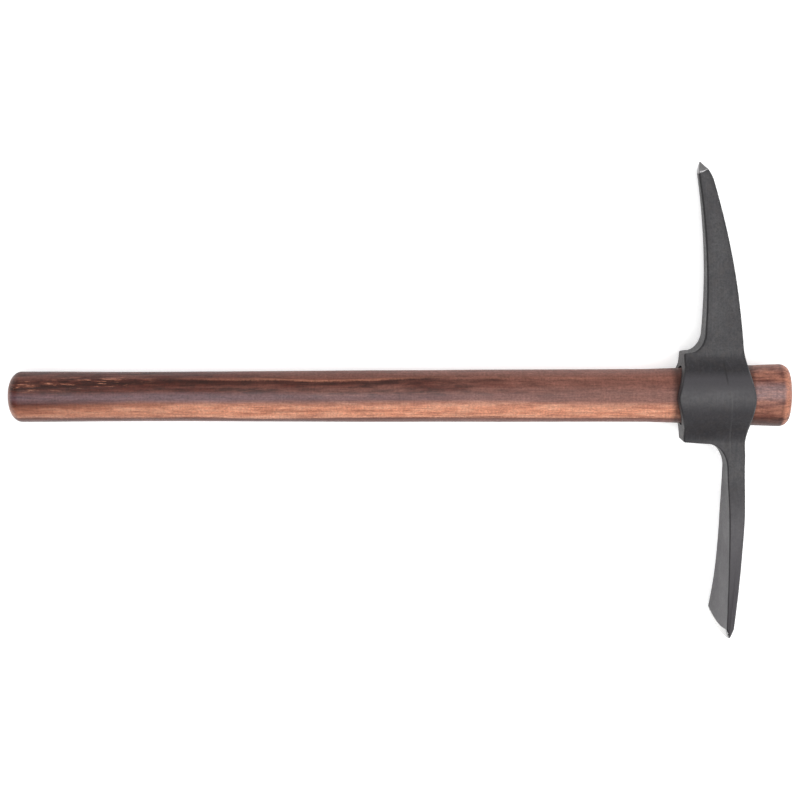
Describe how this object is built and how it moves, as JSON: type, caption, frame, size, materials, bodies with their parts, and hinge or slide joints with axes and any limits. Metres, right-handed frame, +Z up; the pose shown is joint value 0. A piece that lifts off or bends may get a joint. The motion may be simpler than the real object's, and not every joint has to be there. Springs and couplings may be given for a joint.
{
  "type": "mattock",
  "caption": "One-hand pick mattock: a forged head with a four-sided pick and a flared adze, on an oval wooden handle that tapers into its eye.",
  "frame": {"origin": "middle of the handle's grip end", "axes": "+X along the handle from the grip end to the crown end, +Y the way the pick points, +Z up with the tool lying flat"},
  "size_m": [0.45, 0.2727, 0.0584],
  "materials": {
    "stained_wood": "dark red-brown stain with charred streaks along the grain, satin",
    "painted_steel": "satin charcoal grey paint, bare ground steel at the pick's point and the adze's edge"
  },
  "bodies": {
    "handle": {"handle": "stained_wood"},
    "head": {"head": "painted_steel"}
  },
  "joints": [
    {"name": "head_slide", "type": "slide", "parent": "handle", "child": "head", "axis": [-1, 0, 0], "range_m": [0, 0.44]}
  ]
}
